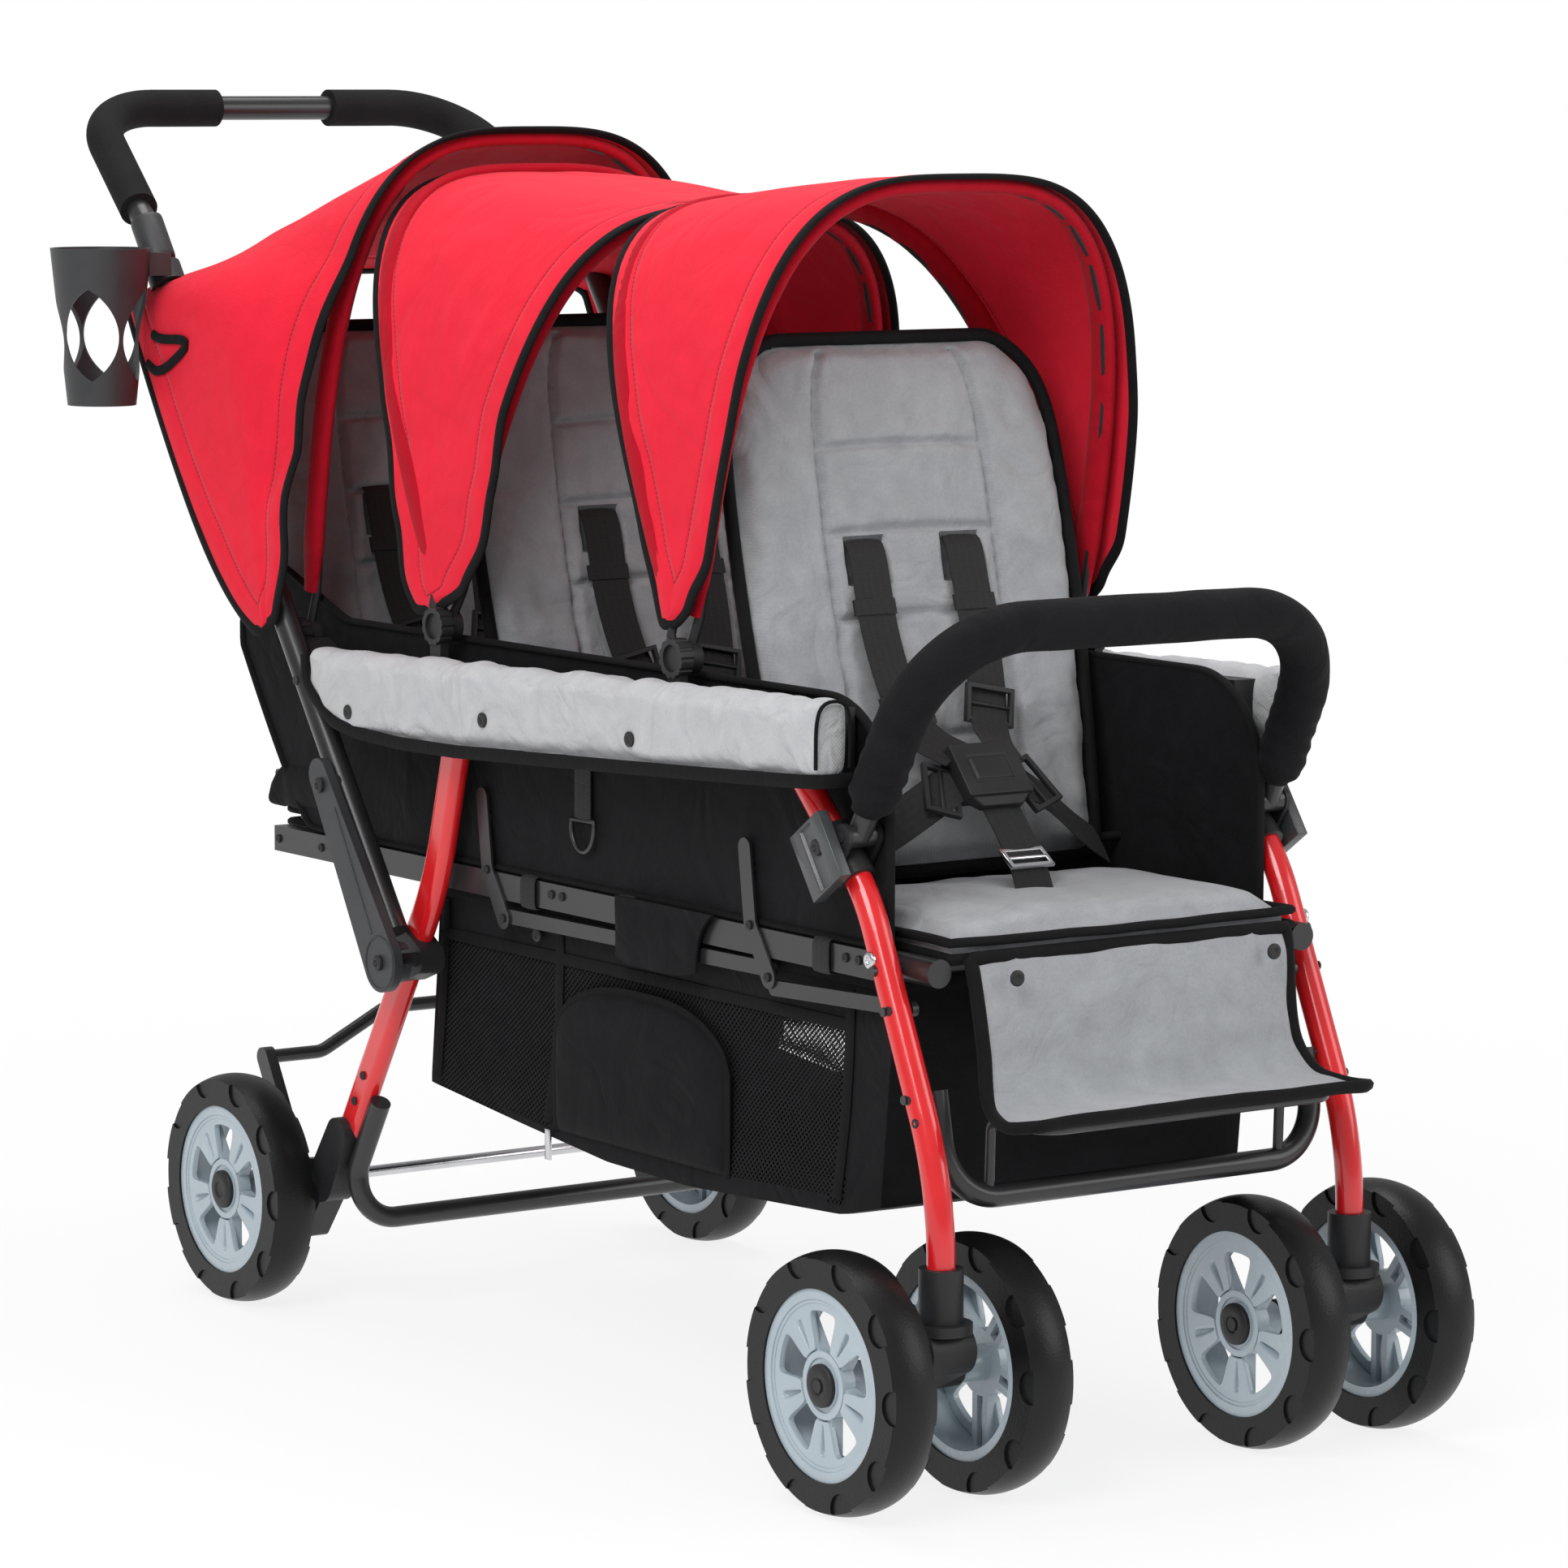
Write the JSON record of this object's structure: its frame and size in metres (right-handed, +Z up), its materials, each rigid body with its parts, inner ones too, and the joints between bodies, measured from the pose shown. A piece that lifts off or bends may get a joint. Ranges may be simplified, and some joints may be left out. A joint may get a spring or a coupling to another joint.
{
  "type": "tandem triple stroller",
  "caption": "Tandem stroller with seats in line, arched canopies, padded bumper bar, folding handle and rear frame, swivel casters and a basket below.",
  "frame": {"origin": "point on the floor in the middle plane, under the middle seat", "axes": "+Z up, X across the width, -Y towards the front (travel direction)"},
  "size_m": [0.6165, 1.408, 1.05],
  "materials": {
    "red_paint": "glossy paint on steel tube",
    "black_paint": "satin paint on steel tube",
    "black_plastic": "moulded, lightly textured",
    "grey_fabric": "quilted polyester, fine weave",
    "black_fabric": "polyester, plain weave and mesh",
    "red_fabric": "polyester canopy cloth with black binding",
    "webbing": "ribbed webbing",
    "foam": "matte closed-cell foam",
    "steel": "bright plated rod",
    "tyre": "satin moulded tread",
    "rim_plastic": "light blue-grey moulding"
  },
  "bodies": {
    "main_frame": {"front_legs": "red_paint", "front_crossbar": "black_paint", "armrests": "black_plastic", "armrest_pads": "grey_fabric", "seat_rails": "black_paint", "lower_links": "black_paint", "seat_cross_tubes": "black_paint", "seat_pad_front": "grey_fabric", "seat_pad_middle": "grey_fabric", "seat_pad_rear": "grey_fabric", "calf_panel": "grey_fabric", "side_panels": "black_fabric", "basket": "black_fabric", "canopy_cover_front": "red_fabric", "canopy_cover_middle": "red_fabric", "canopy_cover_rear": "red_fabric", "canopy_rear_bow_front": "black_plastic", "canopy_rear_bow_middle": "black_plastic", "canopy_hubs_rear": "black_plastic", "lap_harnesses": "webbing", "seat_back_rear": "grey_fabric", "shoulder_harness_rear": "webbing", "bumper_clamps": "black_plastic"},
    "handle": {"handle_tubes": "black_paint", "handle_bar": "black_paint", "handle_grips": "foam", "handle_feet": "black_plastic", "cup_holder": "black_plastic"},
    "rear_frame": {"rear_legs": "red_paint", "latch_posts": "black_plastic", "rear_crossbar": "black_paint", "rear_axle": "steel", "rear_wheel_arms": "black_plastic"},
    "brake": {"brake_bar": "black_paint"},
    "caster_left": {"caster_fork_left": "black_plastic"},
    "caster_right": {"caster_fork_right": "black_plastic"},
    "canopy_bow_front": {"canopy_front_bow_front": "black_plastic"},
    "canopy_bow_middle": {"canopy_front_bow_middle": "black_plastic"},
    "canopy_bow_rear": {"canopy_front_bow_rear": "black_plastic"},
    "bumper": {"bumper_bar": "black_paint", "bumper_cover": "black_fabric"},
    "back_front": {"seat_back_front": "grey_fabric", "shoulder_harness_front": "webbing"},
    "back_middle": {"seat_back_middle": "grey_fabric", "shoulder_harness_middle": "webbing"},
    "wheel_caster_left_outer": {"tyre_caster_left_outer": "tyre", "rim_caster_left_outer": "rim_plastic"},
    "wheel_caster_left_inner": {"tyre_caster_left_inner": "tyre", "rim_caster_left_inner": "rim_plastic"},
    "wheel_caster_right_outer": {"tyre_caster_right_outer": "tyre", "rim_caster_right_outer": "rim_plastic"},
    "wheel_caster_right_inner": {"tyre_caster_right_inner": "tyre", "rim_caster_right_inner": "rim_plastic"},
    "wheel_rear_left": {"tyre_rear_left": "tyre", "rim_rear_left": "rim_plastic"},
    "wheel_rear_right": {"tyre_rear_right": "tyre", "rim_rear_right": "rim_plastic"}
  },
  "joints": [
    {"name": "handle_fold", "type": "hinge", "parent": "main_frame", "child": "handle", "pos_m": [0, 0.2418, 0.552], "axis": [1, 0, 0], "range_deg": [0, 80], "deforming": ["canopy_cover_rear", "armrest_pads"]},
    {"name": "rear_leg_fold", "type": "hinge", "parent": "main_frame", "child": "rear_frame", "pos_m": [0, 0.027, 0.556], "axis": [1, 0, 0], "range_deg": [-35, 0]},
    {"name": "brake_press", "type": "hinge", "parent": "rear_frame", "child": "brake", "pos_m": [0, 0.3315, 0.1], "axis": [-1, 0, 0], "range_deg": [0, 25]},
    {"name": "caster_swivel_left", "type": "hinge", "parent": "main_frame", "child": "caster_left", "pos_m": [0.198, -0.641, 0.15], "axis": [0, 0, 1], "continuous": true},
    {"name": "wheel_spin_caster_left_outer", "type": "hinge", "parent": "caster_left", "child": "wheel_caster_left_outer", "pos_m": [0.261, -0.6005, 0.1], "axis": [1, 0, 0], "continuous": true},
    {"name": "wheel_spin_caster_left_inner", "type": "hinge", "parent": "caster_left", "child": "wheel_caster_left_inner", "pos_m": [0.135, -0.6005, 0.1], "axis": [1, 0, 0], "continuous": true},
    {"name": "wheel_spin_rear_left", "type": "hinge", "parent": "rear_frame", "child": "wheel_rear_left", "pos_m": [0.2428, 0.3315, 0.1], "axis": [1, 0, 0], "continuous": true},
    {"name": "caster_swivel_right", "type": "hinge", "parent": "main_frame", "child": "caster_right", "pos_m": [-0.198, -0.641, 0.15], "axis": [0, 0, 1], "continuous": true},
    {"name": "wheel_spin_caster_right_outer", "type": "hinge", "parent": "caster_right", "child": "wheel_caster_right_outer", "pos_m": [-0.261, -0.6005, 0.1], "axis": [1, 0, 0], "continuous": true},
    {"name": "wheel_spin_caster_right_inner", "type": "hinge", "parent": "caster_right", "child": "wheel_caster_right_inner", "pos_m": [-0.135, -0.6005, 0.1], "axis": [1, 0, 0], "continuous": true},
    {"name": "wheel_spin_rear_right", "type": "hinge", "parent": "rear_frame", "child": "wheel_rear_right", "pos_m": [-0.2428, 0.3315, 0.1], "axis": [1, 0, 0], "continuous": true},
    {"name": "canopy_fold_front", "type": "hinge", "parent": "main_frame", "child": "canopy_bow_front", "pos_m": [0, -0.298, 0.615], "axis": [-1, 0, 0], "range_deg": [0, 32], "deforming": ["canopy_cover_front"]},
    {"name": "canopy_fold_middle", "type": "hinge", "parent": "main_frame", "child": "canopy_bow_middle", "pos_m": [0, 0.058, 0.612], "axis": [-1, 0, 0], "range_deg": [0, 42], "deforming": ["canopy_cover_middle"]},
    {"name": "canopy_fold_rear", "type": "hinge", "parent": "main_frame", "child": "canopy_bow_rear", "pos_m": [0, 0.289, 0.585], "axis": [-1, 0, 0], "range_deg": [0, 34], "deforming": ["canopy_cover_rear"]},
    {"name": "bumper_swing", "type": "hinge", "parent": "main_frame", "child": "bumper", "pos_m": [0, -0.533, 0.5], "axis": [1, 0, 0], "range_deg": [0, 55]},
    {"name": "recline_front", "type": "hinge", "parent": "main_frame", "child": "back_front", "pos_m": [0, -0.36878, 0.45572], "axis": [-1, 0, 0], "range_deg": [0, 16]},
    {"name": "recline_middle", "type": "hinge", "parent": "main_frame", "child": "back_middle", "pos_m": [0, 0.01622, 0.45572], "axis": [-1, 0, 0], "range_deg": [0, 16]}
  ],
  "couplings": [
    {"joint": "rear_leg_fold", "follows": "handle_fold", "ratio": -0.4375}
  ]
}
